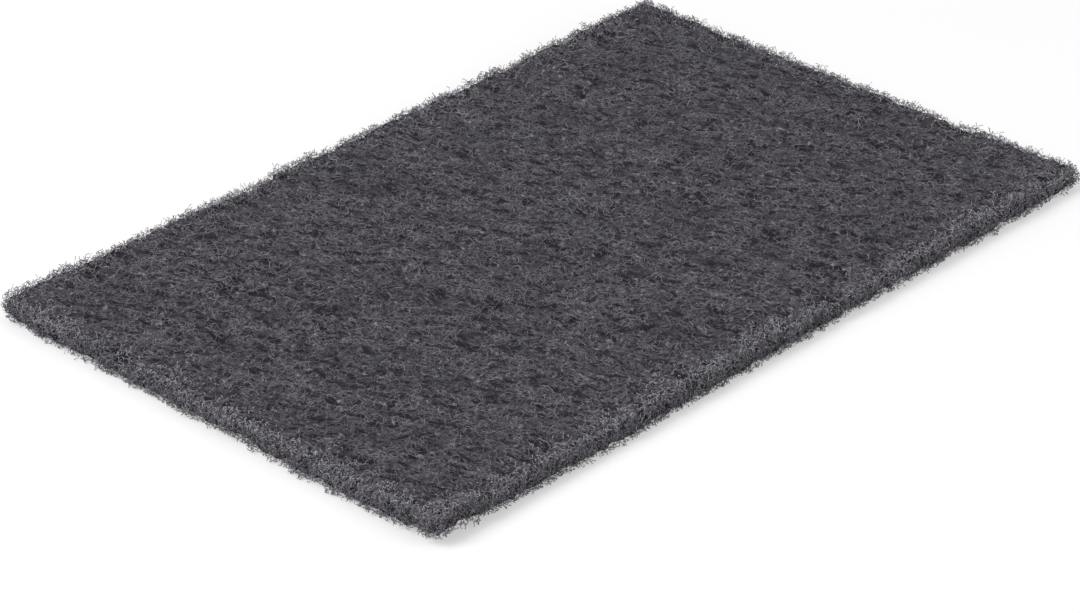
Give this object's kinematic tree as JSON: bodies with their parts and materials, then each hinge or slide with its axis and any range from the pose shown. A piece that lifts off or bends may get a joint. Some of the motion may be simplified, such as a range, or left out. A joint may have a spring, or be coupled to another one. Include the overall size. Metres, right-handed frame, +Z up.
{
  "type": "abrasive pad",
  "caption": "Flat rectangular hand pad of dark grey non-woven abrasive web, with pitted fibrous faces and ragged cut edges, for scouring and surface finishing.",
  "frame": {"origin": "middle of the pad's underside, on the surface that it lies on", "axes": "+X along the pad's length, +Y across its width, +Z up through its thickness"},
  "size_m": [0.23, 0.1528, 0.0082],
  "materials": {
    "abrasive_web": "matte fibrous web of dark grey crimped nylon, resin and grit"
  },
  "bodies": {
    "root": {"abrasive_pad": "abrasive_web"}
  },
  "joints": []
}
